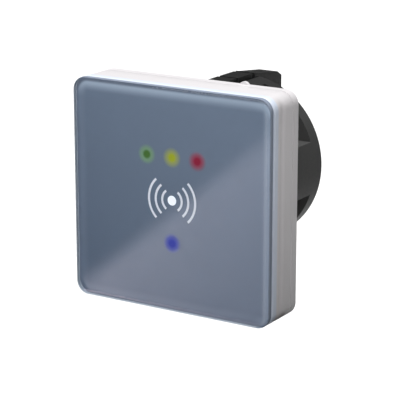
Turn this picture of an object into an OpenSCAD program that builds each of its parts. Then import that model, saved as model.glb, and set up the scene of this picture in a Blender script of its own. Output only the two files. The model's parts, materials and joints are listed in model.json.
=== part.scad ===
// Flush-mounted card reader: a square glass front on a white housing, carried by a round black can that
// sits in the wall and is held there by two wedge-driven claws.
// The wall face is the plane y = 0, the room is towards -Y, and the can's axis is the Y axis.

/* [Front plate] */
// Width of the glass and of the housing behind it
plate_w = 80; // [78:1:110]
// Height of the glass and of the housing behind it
plate_h = 80; // [80:1:110]
// Radius of the plate's corners, seen from the front
corner_r = 5; // [4:0.5:8]
// How far the plate's centre sits below the can's axis
plate_drop = 5; // [0:0.5:5]
// Thickness of the glass
glass_t = 3; // [2.5:0.5:6]
// Rounding of the glass's front edge
glass_edge_r = 1.8; // [0.5:0.1:2.2]
// Thickness of the bond between glass and housing
bond_t = 0.6; // [0.5:0.1:1.5]
// How far the bond stays back from the glass's edge
bond_inset = 0.9; // [0.5:0.1:2]
// Width of the bond all round
bond_w = 4; // [2:0.5:6]
// Thickness of the printed colour film
mask_t = 0.25; // [0.1:0.05:0.3]

/* [Housing] */
// Depth of the white front shell
shell_depth = 12.7; // [12:0.1:20]
// Side wall of the shell
shell_wall = 2; // [1.5:0.1:2.2]
// Front wall of the shell
shell_front_t = 1.6; // [1.2:0.1:2.5]
// Rounding of the shell's front edge
shell_edge_r = 1.1; // [0.4:0.1:2]
// Thickness of the white base plate against the wall
base_t = 3.5; // [3.2:0.1:6]
// Open seam between shell and base plate
seam_gap = 0.2; // [0.1:0.05:0.6]
// Height of the rim that guides the shell on to the base plate
rim_h = 4.6; // [3:0.1:6]
// Wall of that rim
rim_t = 1.5; // [1:0.1:2]
// Width of the small nub on the base plate's top edge
nub_w = 3.4; // [2:0.1:5]
// Height of that nub above the edge
nub_h = 1; // [0.5:0.1:1.5]
// Distance of the nub from the middle of the plate
nub_x = 19.3; // [10:0.1:28]
// Radius of the lock screw under the housing
lock_r = 1.25; // [0.8:0.05:1.5]

/* [Signal lights] */
// Distance from one light to the next in the row
light_pitch = 10.3; // [8:0.1:12]
// Distance of the lights above and below the plate's centre
light_rise = 15; // [10:0.5:18]
// Radius of a light pipe
pipe_r = 2.4; // [1.5:0.1:3]
// Length of a light-emitting diode's package
led_l = 3.2; // [2:0.1:5]
// Width of that package
led_w = 1.8; // [1:0.1:3]
// Height of that package above the board
led_h = 1.3; // [0.6:0.1:1.6]

/* [Electronics] */
// Length of the posts that carry the main board
post_h = 3.4; // [3.2:0.1:5]
// Radius of those posts
post_r = 3; // [2.5:0.1:4]
// Thickness of both circuit boards
board_t = 1.6; // [1:0.1:2]
// Free space between the main board and the shell's walls
board_gap = 3; // [2:0.5:5]
// Radius of the small screws that hold the boards
board_screw_r = 1.1; // [0.8:0.05:1.3]
// Turns of the antenna
coil_turns = 4; // [2:1:6]
// Distance from one turn of the antenna to the next
coil_pitch = 1.4; // [1.1:0.1:2]
// Width of the antenna's track
coil_track = 0.6; // [0.3:0.1:0.7]
// Pins in each of the plug's two rows
pin_count = 5; // [3:1:6]
// Distance from pin to pin
pin_pitch = 2.54; // [2:0.01:2.54]
// Side of a square pin
pin_side = 0.64; // [0.5:0.02:0.7]
// Radius of the buzzer
buzzer_r = 6; // [4:0.5:7]
// Height of the buzzer
buzzer_h = 4.6; // [2:0.1:5]

/* [Can] */
// Radius of the can
can_r = 30.5; // [29:0.1:30.6]
// How far the can reaches into the wall
can_depth = 35.3; // [34:0.1:60]
// Depth of the closed ring at the can's rear
ring_t = 5.5; // [4:0.1:8]
// Radius of the drum between the can's arms
drum_r = 25; // [24.5:0.1:26]
// Wall of the drum
drum_wall = 2; // [1.5:0.1:2.5]
// Rear wall of the can
rear_t = 2.5; // [1.5:0.1:4]
// Width of the four arms round the drum
arm_w = 19.5; // [18:0.5:24]
// Radius of the can's front flange
flange_r = 32.5; // [32:0.1:33]
// Thickness of that flange
flange_t = 1.8; // [1.2:0.1:2]
// Distance of the flange's screw ears from the can's axis
ear_reach = 36; // [35:0.5:38]
// Radius of a screw ear
ear_r = 4; // [3:0.1:4.5]
// Radius of the hole for the cable grommet
grommet_r = 8; // [5:0.5:9]

/* [Claws] */
// Width of a claw
claw_w = 8; // [6:0.5:9]
// Length of the claw's tip behind the can
claw_tip = 17; // [8:0.5:20]
// How far the teeth stand out of the can
tooth_rise = 1.5; // [0.8:0.1:1.8]
// How far the front of the claw's tip stands out of the can
tip_rise = 1.1; // [0.8:0.1:1.8]
// Radius of the claw's pivot pin
pivot_r = 1; // [0.7:0.05:1.2]
// Radius of the claw screw
screw_r = 1.5; // [1:0.1:1.6]
// Length of the wedge nut
nut_l = 8; // [6:0.5:9]
// Travel of the wedge nut towards the room
nut_travel = 10; // [6:0.5:10]

/* [Terminals] */
// Poles of the terminal plug
pole_count = 5; // [2:1:5]
// Distance from pole to pole
pole_pitch = 5.08; // [3.81:0.01:5.08]
// Height of the terminal plug
plug_h = 8; // [7:0.1:10]
// Length of the terminal plug
plug_l = 15; // [12:0.1:16]
// Radius of a wire hole in the plug
wire_r = 1.3; // [0.8:0.1:1.5]

/* [Fits] */
// Clearance between pieces that slide or drop into each other
fit_gap = 0.25; // [0.2:0.05:0.3]
// Clearance of a pin or a screw in its hole
pin_gap = 0.05; // [0.03:0.01:0.1]
// Clearance beside a moving claw or nut
side_gap = 0.3; // [0.25:0.05:0.5]

/* [Hidden] */
$fn = 64;
// Overlap that makes two shapes of one piece fuse, or a cut run past a face
fuse = 0.5;

// Depth planes, from the wall towards the room
base_front = -base_t;
shell_rear = base_front - seam_gap;
shell_front = shell_rear - shell_depth;
glass_rear = shell_front - bond_t;
glass_front = glass_rear - glass_t;
mask_air = 0.1;
mask_front = glass_rear + mask_air;
mask_rear = mask_front + mask_t;
shell_inside = shell_front + shell_front_t;
board_front = shell_inside + post_h;
board_rear = board_front + board_t;

// Outlines inside the housing
inner_w = plate_w - 2 * shell_wall;
inner_h = plate_h - 2 * shell_wall;
inner_r = corner_r - shell_wall;
rim_w = inner_w - 2 * fit_gap;
rim_high = inner_h - 2 * fit_gap;
rim_r = inner_r - fit_gap;
rim_inner_top = rim_high / 2 - rim_t - plate_drop;
rim_open_spare = 3;
rim_open_w = 2 * (sqrt(max(0, pow(flange_r + fit_gap, 2) - pow(rim_inner_top, 2))) + rim_open_spare);
rim_inner_r = 1;
nub_t = 1.4;
bond_inner_r = 1;
board_w = inner_w - 2 * board_gap;
board_h = inner_h - 2 * board_gap;
board_corner_r = 2;
post_inset = 4;
post_x = board_w / 2 - post_inset;
post_z = board_h / 2 - post_inset;

// Depth of the lock screw, in the middle of the rim
lock_y = base_front - rim_h / 2;

// Light pipes stand on the diodes and end just behind the film
led_top = board_front - led_h;
pipe_foot = led_top - fit_gap;
pipe_tip = mask_rear + pin_gap;
pipe_collar_w = 0.9;
pipe_collar_r = pipe_r + pipe_collar_w;
light_places = [[-light_pitch, light_rise], [0, light_rise], [light_pitch, light_rise], [0, -light_rise]];

// Screws of the boards
board_head_r = 2 * board_screw_r;
board_head_h = 1.4;
board_screw_bite = 2.6;
pilot_spare = 0.3;

// Antenna track round the lights
coil_t = 0.2;
coil_half_w = post_x - post_r - coil_track;
coil_half_h = post_z - post_r - coil_track;

// Parts on the rear of the main board
chip_h = 1.2;
reader_chip_side = 6;
controller_side = 10;
crystal_l = 11;
crystal_w = 4.6;
crystal_h = 3.4;
part_reach = 18;
capacitor_r = 2.5;
capacitor_h = 4.4;
capacitor_pitch = 8;
capacitor_count = 3;
chip_rise = 9;

// Plug-in connection between the main board and the terminal board
header_base_h = 2.5;
header_w = pin_count * pin_pitch;
header_h = 2 * pin_pitch;
socket_h = 8.5;
socket_face = board_rear + header_base_h + fit_gap;
terminal_front = socket_face + socket_h;
terminal_rear = terminal_front + board_t;
pin_reach = 6;
pin_end = board_rear + header_base_h + pin_reach;
pin_slot = pin_side + 4 * pin_gap;

// Can
flange_rear = base_front + flange_t;
ring_front = can_depth - ring_t;
can_inside = can_depth - rear_t;
drum_inner_r = drum_r - drum_wall;
can_screw_r = 1;
can_head_r = 1.9;
can_head_h = 1;
can_screw_tip = -0.3;

// Claw drive: pivot, screw, channel and wedge
channel_w = claw_w + 2 * side_gap;
channel_wall = 1.5;
channel_front = 1;
channel_depth = 12;
channel_floor = can_r - channel_depth;
pivot_set_back = 4;
pivot_y = channel_front + pivot_set_back;
pivot_sink = 3.5;
pivot_z = can_r - pivot_sink;
pivot_wall = 1.6;
pivot_boss_r = pivot_r + pivot_wall;
pin_set_in = 1;
pin_half = arm_w / 2 - pin_set_in;
nut_floor_wall = 1.6;
screw_z = channel_floor + nut_floor_wall + screw_r;
screw_head_w = 1.2;
screw_head_r = screw_r + screw_head_w;
screw_head_h = 1.8;
screw_tip = can_depth - fit_gap;
tail_wall = 0.9;
tail_wall_top = screw_z + screw_r + tail_wall;
nut_rear = ring_front;
nut_front = nut_rear - nut_l;
nut_stop_w = 1.5;
nut_stop_h = 1;
nut_stop_rear = nut_front - nut_travel - fit_gap;
ramp_slope = 0.0963;
ramp_set_back = 3;
ramp_front_y = pivot_y + ramp_set_back;
ramp_sink = 5.9;
ramp_front_z = can_r - ramp_sink;
tip_set_in = 1.5;
tip_front_y = can_depth - tip_set_in;
tip_clear = 0.9;
tip_floor_sink = 9.5;
tip_floor_z = can_r - tip_floor_sink;
tip_slope_drop = 1.9;
tip_bevel_l = 3;
tip_bevel_drop = 1.7;
tip_bevel_y = can_depth + claw_tip - tip_bevel_l;
claw_rise = max(tooth_rise, tip_rise);
tooth_notch_w = 1.4;
tooth_notch_depth = 2.4;
tooth_pitch = 11.1;
last_notch_set_in = 2.4;
last_notch_y = tip_front_y - last_notch_set_in;
first_notch_y = last_notch_y - tooth_pitch;
tooth_set_back = 4;
tooth_front_y = pivot_y + tooth_set_back;
slot_w = 0.9;
slot_depth = 0.9;

// Terminal plug in its header
plug_w = pole_count * pole_pitch - 2 * fit_gap;
header_wall = 0.8;
header_floor = 1.5;
header_depth = 8;
plug_clear = 0.5;
plug_front = terminal_rear + header_floor + plug_clear;
plug_rear = plug_front + plug_l;
blade_side = 1;
blade_set_in = 1;
blade_end = terminal_rear + header_depth - blade_set_in;
clamp_screw_r = 1.3;
clamp_screw_h = 2.6;
clamp_set_in = 5;
clamp_screw_y = plug_rear - clamp_set_in;
wire_depth = 5;
terminal_post_r = 2.3;
terminal_post_x = pole_count * pole_pitch / 2 + header_wall + terminal_post_r + fit_gap;
terminal_board_w = 2 * (terminal_post_x + terminal_post_r);
terminal_board_h = 20;

// Grommet
grommet_lip = 1.6;
grommet_lip_t = 1;
membrane_t = 1.2;

// Shapes that repeat

// Puts the plate's own centre at the origin of its children
module at_plate() {
    translate([0, 0, -plate_drop]) children();
}

// Carries an outline drawn in the plate's plane from depth y0 to depth y1
module slab(y0, y1) {
    translate([0, y1, 0]) rotate([90, 0, 0]) linear_extrude(y1 - y0) children();
}

// Round bar along Y
module rod(y0, y1, r) {
    translate([0, y1, 0]) rotate([90, 0, 0]) cylinder(h = y1 - y0, r = r);
}

// Carries a side outline, drawn with y across and z up, over a width along X
module side_profile(w) {
    translate([-w / 2, 0, 0]) rotate([90, 0, 90]) linear_extrude(w) children();
}

// Rectangle with round corners
module rounded_rect(w, h, r) {
    square([w, h - 2 * r], center = true);
    square([w - 2 * r, h], center = true);
    for (sx = [-1, 1], sz = [-1, 1])
        translate([sx * (w / 2 - r), sz * (h / 2 - r)]) circle(r);
}

// Disc whose front rim is rounded
module button(r, y0, y1, edge_r) {
    t = y1 - y0;
    translate([0, y1, 0]) rotate([90, 0, 0]) rotate_extrude($fn = 32) {
        square([r - edge_r, t]);
        square([r, t - edge_r]);
        intersection() {
            translate([r - edge_r, t - edge_r]) circle(edge_r, $fn = 24);
            square([r, t]);
        }
    }
}

// Block with round corners and a rounded front edge
module soft_block(w, h, r, y0, y1, edge_r) {
    hull() {
        for (sx = [-1, 1], sz = [-1, 1])
            translate([sx * (w / 2 - r), 0, sz * (h / 2 - r)]) button(r, y0, y1, edge_r);
    }
}

// Box from depth y0 to depth y1, centred on x and z
module block_at(x, z, w, h, y0, y1) {
    translate([x - w / 2, y0, z - h / 2]) cube([w, y1 - y0, h]);
}

// Repeats its children at the main board's four posts
module at_posts() {
    for (sx = [-1, 1], sz = [-1, 1])
        translate([sx * post_x, 0, sz * post_z - plate_drop]) children();
}

// Repeats its children at the pins of the plug-in connection
module at_pins() {
    for (i = [0 : pin_count - 1], row = [-1, 1])
        translate([(i - (pin_count - 1) / 2) * pin_pitch, 0, row * pin_pitch / 2]) children();
}

// Repeats its children at the poles of the terminal plug
module at_poles() {
    for (i = [0 : pole_count - 1])
        translate([(i - (pole_count - 1) / 2) * pole_pitch, 0, 0]) children();
}

// Repeats its children at the two posts of the terminal board
module at_terminal_posts() {
    for (side = [-1, 1])
        translate([side * terminal_post_x, 0, 0]) children();
}

// Repeats its children at the four screw ears of the can
module at_ears() {
    for (turn = [45 : 90 : 315])
        rotate([0, turn, 0]) translate([ear_reach, 0, 0]) children();
}

// Screw along Y with a slotted round head at its front end
module slotted_screw(head_front, head_h, head_r, tip, r) {
    difference() {
        union() {
            rod(head_front, head_front + head_h, head_r);
            rod(head_front + head_h - fuse, tip, r);
        }
        block_at(0, 0, 4 * head_r, slot_w, head_front - fuse, head_front + slot_depth);
    }
}

// Front unit

module front_glass() {
    color([0.38, 0.43, 0.5])
        at_plate() soft_block(plate_w, plate_h, corner_r, glass_front, glass_rear, glass_edge_r);
}

module glass_bond() {
    color([0.08, 0.08, 0.09])
        at_plate() slab(glass_rear, shell_front) difference() {
            rounded_rect(plate_w - 2 * bond_inset, plate_h - 2 * bond_inset, corner_r - bond_inset);
            rounded_rect(plate_w - 2 * (bond_inset + bond_w), plate_h - 2 * (bond_inset + bond_w), bond_inner_r);
        }
}

module printed_mask() {
    mask_inset = bond_inset + bond_w + fit_gap;
    color([0.36, 0.41, 0.5])
        at_plate() slab(mask_front, mask_rear) difference() {
            rounded_rect(plate_w - 2 * mask_inset, plate_h - 2 * mask_inset, bond_inner_r);
            for (place = light_places)
                translate(place) circle(pipe_r);
        }
}

module front_shell() {
    color([0.93, 0.93, 0.94]) {
        difference() {
            union() {
                at_plate() difference() {
                    soft_block(plate_w, plate_h, corner_r, shell_front, shell_rear, shell_edge_r);
                    slab(shell_inside, shell_rear + fuse) rounded_rect(inner_w, inner_h, inner_r);
                }
                at_posts() rod(shell_inside - fuse, board_front, post_r);
            }
            at_posts() rod(board_front - board_screw_bite - pilot_spare, board_front + fuse, board_screw_r + pin_gap);
            at_plate() for (place = light_places)
                translate([place[0], 0, place[1]]) rod(shell_front - fuse, shell_inside + fuse, pipe_r + fit_gap);
            lock_axis() cylinder(h = 2 * shell_wall, r = lock_r + pin_gap, center = true);
        }
    }
}

module light_pipe(place) {
    at_plate() translate([place[0], 0, place[1]]) {
        rod(pipe_tip, pipe_foot, pipe_r);
        rod(shell_inside + pin_gap, pipe_foot, pipe_collar_r);
    }
}

module light_pipe_green() { color([0.3, 0.75, 0.25]) light_pipe(light_places[0]); }
module light_pipe_yellow() { color([0.95, 0.8, 0.2]) light_pipe(light_places[1]); }
module light_pipe_red() { color([0.85, 0.15, 0.15]) light_pipe(light_places[2]); }
module light_pipe_blue() { color([0.2, 0.35, 0.9]) light_pipe(light_places[3]); }

module status_leds() {
    color([0.95, 0.94, 0.85])
        at_plate() for (place = light_places)
            block_at(place[0], place[1], led_l, led_w, led_top, board_front);
}

module main_board() {
    color([0.1, 0.35, 0.2])
        difference() {
            at_plate() slab(board_front, board_rear) rounded_rect(board_w, board_h, board_corner_r);
            at_posts() rod(board_front - fuse, board_rear + fuse, board_screw_r + 2 * pin_gap);
        }
}

// One unbroken square spiral: each side ends where the next begins, one pitch further in after each turn
module antenna_coil() {
    color([0.8, 0.5, 0.25])
        at_plate() slab(board_front - coil_t, board_front)
            for (i = [0 : coil_turns - 1]) {
                a = coil_half_w - i * coil_pitch;
                b = coil_half_h - i * coil_pitch;
                start = i == 0 ? a : a + coil_pitch;
                top_end = i == coil_turns - 1 ? b : b - coil_pitch;
                translate([-start, b]) square([start + a, coil_track]);
                translate([a, -b]) square([coil_track, 2 * b + coil_track]);
                translate([-a, -b]) square([2 * a + coil_track, coil_track]);
                translate([-a, -b]) square([coil_track, b + top_end]);
            }
}

module reader_chip() {
    color([0.12, 0.12, 0.13])
        block_at(-part_reach, chip_rise, reader_chip_side, reader_chip_side, board_rear, board_rear + chip_h);
}

module controller_chip() {
    color([0.14, 0.14, 0.15])
        block_at(part_reach, chip_rise, controller_side, controller_side, board_rear, board_rear + chip_h);
}

module crystal() {
    color([0.75, 0.76, 0.78])
        block_at(0, part_reach, crystal_l, crystal_w, board_rear, board_rear + crystal_h);
}

module buzzer() {
    color([0.1, 0.1, 0.1])
        translate([part_reach, 0, -part_reach]) rod(board_rear, board_rear + buzzer_h, buzzer_r);
}

module capacitors() {
    color([0.55, 0.56, 0.6])
        for (i = [0 : capacitor_count - 1])
            translate([-part_reach + (i - (capacitor_count - 1) / 2) * capacitor_pitch, 0, -part_reach])
                rod(board_rear, board_rear + capacitor_h, capacitor_r);
}

module pin_header() {
    color([0.08, 0.08, 0.08])
        difference() {
            block_at(0, 0, header_w, header_h, board_rear, board_rear + header_base_h);
            at_pins() block_at(0, 0, pin_slot, pin_slot, board_rear - fuse, board_rear + header_base_h + fuse);
        }
}

module header_pins() {
    color([0.85, 0.7, 0.3])
        at_pins() block_at(0, 0, pin_side, pin_side, board_rear, pin_end);
}

module board_screws() {
    color([0.7, 0.71, 0.73])
        at_posts() mirror([0, 1, 0])
            slotted_screw(-board_rear - board_head_h, board_head_h, board_head_r, board_screw_bite - board_front,
                board_screw_r);
}

// Axis of the lock screw: upright, through the bottom wall of the shell
module lock_axis() {
    translate([0, lock_y, -plate_drop - plate_h / 2 + shell_wall / 2]) children();
}

// The screw waits in the shell's wall, ready to be driven up into the base plate's rim
module lock_screw() {
    lock_l = shell_wall - pin_gap;
    color([0.7, 0.71, 0.73])
        lock_axis() difference() {
            cylinder(h = lock_l, r = lock_r, center = true);
            translate([0, 0, -lock_l / 2]) cylinder(h = 2 * slot_depth, r = lock_r / 2, center = true, $fn = 6);
        }
}

// Fixed part

// Outline of the can's flange with its four ears, grown by a clearance
module flange_outline(gap) {
    circle(flange_r + gap);
    for (turn = [45 : 90 : 315])
        rotate(turn) {
            translate([ear_reach, 0]) circle(ear_r + gap);
            translate([0, -ear_r - gap]) square([ear_reach, 2 * (ear_r + gap)]);
        }
}

// Half-round nub on the base plate's top edge, close to the wall
module edge_nub() {
    nub_r = (pow(nub_w / 2, 2) + pow(nub_h, 2)) / (2 * nub_h);
    translate([nub_x, 0, plate_h / 2 + nub_h - nub_r]) rod(-nub_t, 0, nub_r);
}

module base_plate() {
    notch_top = can_r + claw_rise + side_gap + fit_gap;
    color([0.92, 0.92, 0.93])
        difference() {
            union() {
                at_plate() slab(base_front, 0) rounded_rect(plate_w, plate_h, corner_r);
                at_plate() edge_nub();
                at_plate() slab(base_front - rim_h, base_front + fuse) difference() {
                    rounded_rect(rim_w, rim_high, rim_r);
                    rounded_rect(rim_w - 2 * rim_t, rim_high - 2 * rim_t, rim_inner_r);
                    translate([-rim_open_w / 2, 0]) square([rim_open_w, rim_high]);
                }
            }
            slab(base_front - fuse, flange_rear) flange_outline(fit_gap);
            rod(base_front, fuse, can_r + fit_gap);
            block_at(0, 0, channel_w + 2 * fit_gap, 2 * notch_top, base_front, fuse);
            at_ears() rod(base_front, fuse, can_screw_r + pin_gap);
            translate([0, 0, shell_wall]) lock_axis() cylinder(h = 4 * rim_t, r = lock_r + fit_gap, center = true);
        }
}

// Drum with four arms, seen from the front
module can_outline() {
    circle(drum_r);
    intersection() {
        circle(can_r);
        union() {
            square([arm_w, 3 * can_r], center = true);
            square([3 * can_r, arm_w], center = true);
        }
    }
}

// Turns its children from the top of the can to the bottom for side 1
module at_claw(side) {
    rotate([0, 180 * side, 0]) children();
}

module back_can() {
    channel_box_h = drum_r - channel_floor + channel_wall;
    color([0.07, 0.07, 0.075])
        difference() {
            union() {
                difference() {
                    union() {
                        slab(base_front, flange_rear) flange_outline(0);
                        slab(flange_rear - fuse, ring_front + fuse) can_outline();
                        rod(ring_front, can_depth, can_r);
                    }
                    rod(base_front - fuse, can_inside, drum_inner_r);
                }
                for (side = [0, 1])
                    at_claw(side) block_at(0, channel_floor - channel_wall + channel_box_h / 2,
                        channel_w + 2 * channel_wall, channel_box_h, base_front, can_inside + fuse);
                at_terminal_posts() rod(terminal_rear, can_inside + fuse, terminal_post_r);
            }
            for (side = [0, 1])
                at_claw(side) claw_channel();
            at_ears() rod(base_front - fuse, flange_rear + fuse, can_screw_r + 2 * pin_gap);
            at_ears() rod(base_front - fuse, base_front + can_head_h, can_head_r + 2 * pin_gap);
            at_terminal_posts()
                rod(terminal_rear - fuse, terminal_rear + board_screw_bite + pilot_spare, board_screw_r + pin_gap);
            rod(can_inside - fuse, can_depth + fuse, grommet_r + pin_gap);
        }
}

// Room for one claw, its nut, screw and pivot pin, with a rib left standing where the nut's travel ends
module claw_channel() {
    reach = can_r + claw_rise - channel_floor;
    tail_reach = can_r + claw_rise - tail_wall_top;
    difference() {
        block_at(0, channel_floor + reach / 2, channel_w, reach, channel_front, can_inside);
        block_at(0, channel_floor, 2 * channel_w, 2 * nut_stop_h, nut_stop_rear - nut_stop_w, nut_stop_rear);
    }
    block_at(0, tail_wall_top + tail_reach / 2, channel_w, tail_reach, can_inside - fuse, can_depth + fuse);
    translate([0, 0, screw_z]) {
        rod(base_front - fuse, can_depth + fuse, screw_r + pin_gap);
        rod(base_front - fuse, base_front + screw_head_h, screw_head_r + 2 * pin_gap);
    }
    translate([0, pivot_y, pivot_z]) rotate([0, 90, 0])
        cylinder(h = 2 * arm_w, r = pivot_r + pin_gap / 2, center = true);
}

module can_screws() {
    color([0.7, 0.71, 0.73])
        at_ears() slotted_screw(base_front, can_head_h, can_head_r, can_screw_tip, can_screw_r);
}

module cable_grommet() {
    color([0.05, 0.05, 0.05]) {
        difference() {
            union() {
                rod(can_inside - grommet_lip_t, can_inside, grommet_r + grommet_lip);
                rod(can_inside - grommet_lip_t, can_depth + grommet_lip_t, grommet_r);
                rod(can_depth, can_depth + grommet_lip_t, grommet_r + grommet_lip);
            }
            rod(can_inside - grommet_lip_t + membrane_t, can_depth + grommet_lip_t + fuse, grommet_r - grommet_lip);
        }
    }
}

module terminal_board() {
    color([0.1, 0.35, 0.2])
        difference() {
            slab(terminal_front, terminal_rear) rounded_rect(terminal_board_w, terminal_board_h, board_corner_r);
            at_terminal_posts() rod(terminal_front - fuse, terminal_rear + fuse, board_screw_r + 2 * pin_gap);
        }
}

module terminal_board_screws() {
    color([0.7, 0.71, 0.73])
        at_terminal_posts() slotted_screw(terminal_front - board_head_h, board_head_h, board_head_r,
            terminal_rear + board_screw_bite, board_screw_r);
}

module socket_strip() {
    color([0.08, 0.08, 0.08])
        difference() {
            block_at(0, 0, header_w, header_h, socket_face, terminal_front);
            at_pins() block_at(0, 0, pin_slot, pin_slot, socket_face - fuse, pin_end + fuse);
        }
}

module terminal_header() {
    shroud_w = pole_count * pole_pitch + 2 * header_wall;
    shroud_h = plug_h + 2 * (fit_gap + header_wall);
    color([0.15, 0.45, 0.2]) {
        difference() {
            block_at(0, 0, shroud_w, shroud_h, terminal_rear, terminal_rear + header_depth);
            block_at(0, 0, plug_w + 2 * fit_gap, plug_h + 2 * fit_gap, terminal_rear + header_floor,
                terminal_rear + header_depth + fuse);
        }
        at_poles() block_at(0, 0, blade_side, blade_side, terminal_rear + header_floor - fuse, blade_end);
    }
}

module terminal_plug() {
    blade_slot = blade_side + 2 * fit_gap;
    color([0.18, 0.5, 0.24])
        difference() {
            block_at(0, 0, plug_w, plug_h, plug_front, plug_rear);
            at_poles() {
                block_at(0, 0, blade_slot, blade_slot, plug_front - fuse, blade_end + fuse);
                rod(plug_rear - wire_depth, plug_rear + fuse, wire_r);
                translate([0, clamp_screw_y, plug_h / 2 - clamp_screw_h])
                    cylinder(h = clamp_screw_h + fuse, r = clamp_screw_r + 2 * pin_gap);
            }
        }
}

module terminal_screws() {
    color([0.72, 0.73, 0.75])
        at_poles() translate([0, clamp_screw_y, plug_h / 2 - clamp_screw_h]) difference() {
            cylinder(h = clamp_screw_h - fuse, r = clamp_screw_r);
            translate([-2 * clamp_screw_r, -slot_w / 2, clamp_screw_h - fuse - slot_depth])
                cube([4 * clamp_screw_r, slot_w, 2 * slot_depth]);
        }
}

// Claws

module claw_pins() {
    color([0.7, 0.71, 0.73])
        for (side = [0, 1])
            at_claw(side) translate([0, pivot_y, pivot_z]) rotate([0, 90, 0])
                cylinder(h = 2 * pin_half, r = pivot_r, center = true);
}

// Height of the claw's underside, the ramp that the wedge nut runs under
function ramp_z(y) = ramp_front_z + ramp_slope * (y - ramp_front_y);

module claw_profile() {
    tooth_z = can_r + tooth_rise;
    tip_z = can_r + tip_rise;
    polygon([
        [pivot_y, ramp_z(ramp_front_y)],
        [ramp_front_y, ramp_z(ramp_front_y)],
        [tip_front_y, ramp_z(tip_front_y)],
        [can_depth + tip_clear, ramp_z(tip_front_y)],
        [can_depth + tip_clear, tip_floor_z],
        [can_depth + claw_tip, tip_floor_z],
        [can_depth + claw_tip, tip_z - tip_slope_drop - tip_bevel_drop],
        [tip_bevel_y, tip_z - tip_slope_drop],
        [tip_front_y, tip_z],
        [last_notch_y + tooth_notch_w / 2, tooth_z],
        [last_notch_y + tooth_notch_w / 2, tooth_z - tooth_notch_depth],
        [last_notch_y - tooth_notch_w / 2, tooth_z - tooth_notch_depth],
        [last_notch_y - tooth_notch_w / 2, tooth_z],
        [first_notch_y + tooth_notch_w / 2, tooth_z],
        [first_notch_y + tooth_notch_w / 2, tooth_z - tooth_notch_depth],
        [first_notch_y - tooth_notch_w / 2, tooth_z - tooth_notch_depth],
        [first_notch_y - tooth_notch_w / 2, tooth_z],
        [tooth_front_y, tooth_z],
        [pivot_y, pivot_z + pivot_boss_r]
    ]);
    translate([pivot_y, pivot_z]) circle(pivot_boss_r);
}

module claw(side) {
    color([0.06, 0.06, 0.065])
        at_claw(side) difference() {
            side_profile(claw_w) claw_profile();
            translate([0, pivot_y, pivot_z]) rotate([0, 90, 0])
                cylinder(h = 2 * claw_w, r = pivot_r + pin_gap, center = true);
        }
}

module wedge_nut(side) {
    color([0.75, 0.6, 0.3])
        at_claw(side) difference() {
            side_profile(claw_w) polygon([
                [nut_front, channel_floor + side_gap],
                [nut_rear, channel_floor + side_gap],
                [nut_rear, ramp_z(nut_rear) - side_gap],
                [nut_front, ramp_z(nut_front) - side_gap]
            ]);
            translate([0, 0, screw_z]) rod(nut_front - fuse, nut_rear + fuse, screw_r + pin_gap);
        }
}

module claw_screw(side) {
    color([0.72, 0.73, 0.75])
        at_claw(side) translate([0, 0, screw_z])
            slotted_screw(base_front, screw_head_h, screw_head_r, screw_tip, screw_r);
}

module claw_top() { claw(0); }
module wedge_nut_top() { wedge_nut(0); }
module claw_screw_top() { claw_screw(0); }
module claw_bottom() { claw(1); }
module wedge_nut_bottom() { wedge_nut(1); }
module claw_screw_bottom() { claw_screw(1); }

front_glass();
glass_bond();
printed_mask();
front_shell();
light_pipe_green();
light_pipe_yellow();
light_pipe_red();
light_pipe_blue();
status_leds();
main_board();
antenna_coil();
reader_chip();
controller_chip();
crystal();
buzzer();
capacitors();
pin_header();
header_pins();
board_screws();
lock_screw();
base_plate();
back_can();
can_screws();
cable_grommet();
terminal_board();
terminal_board_screws();
socket_strip();
terminal_header();
terminal_plug();
terminal_screws();
claw_pins();
claw_top();
wedge_nut_top();
claw_screw_top();
claw_bottom();
wedge_nut_bottom();
claw_screw_bottom();
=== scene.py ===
# %% [markdown]
# A contactless card reader sits on the wall like a light switch: a printed glass panel on a white
# housing, a base plate against the wall, and a black round can with two fixing claws in the wall.
# The exact solids come from the CAD frame, in metres, with Y into the wall and Z up. They could be
# modelled again here, but then they would drift from the moving parts, so everything that is made
# in this file is laid over them and rides on their bodies.

# %% Load the frame
import json
import math

import bmesh
import bpy
import numpy as np
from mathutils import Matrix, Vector


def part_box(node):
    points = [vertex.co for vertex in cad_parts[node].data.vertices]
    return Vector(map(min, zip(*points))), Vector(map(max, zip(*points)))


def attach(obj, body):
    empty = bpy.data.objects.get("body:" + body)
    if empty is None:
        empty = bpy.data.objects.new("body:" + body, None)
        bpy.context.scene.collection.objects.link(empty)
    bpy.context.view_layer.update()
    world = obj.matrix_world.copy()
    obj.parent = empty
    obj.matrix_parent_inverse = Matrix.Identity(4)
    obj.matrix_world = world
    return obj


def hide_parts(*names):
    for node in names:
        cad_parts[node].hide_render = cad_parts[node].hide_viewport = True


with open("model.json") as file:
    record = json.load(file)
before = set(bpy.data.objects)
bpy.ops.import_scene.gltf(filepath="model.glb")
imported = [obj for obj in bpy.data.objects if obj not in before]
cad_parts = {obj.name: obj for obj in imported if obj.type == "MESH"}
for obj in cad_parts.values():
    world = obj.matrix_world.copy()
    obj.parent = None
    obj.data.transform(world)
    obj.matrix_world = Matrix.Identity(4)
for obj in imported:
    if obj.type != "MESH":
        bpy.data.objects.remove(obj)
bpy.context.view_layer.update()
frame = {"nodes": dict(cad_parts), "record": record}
nodes = frame["nodes"]
MM = 0.001
X_AXIS, Y_AXIS, Z_AXIS = np.eye(3)


def node_box(node):
    """The middle of a node's box, and its lowest and highest corner."""
    low, high = (np.array(corner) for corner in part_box(node))
    return (low + high) / 2, low, high


# %% [markdown]
# The camera stands to the right of the reader and a little above it, with a long lens, so that the
# panel's sides stay almost parallel. A shifted lens could keep the uprights exactly parallel, but a
# shift spoils every other view. So the camera is turned a little past the glass instead.

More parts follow.
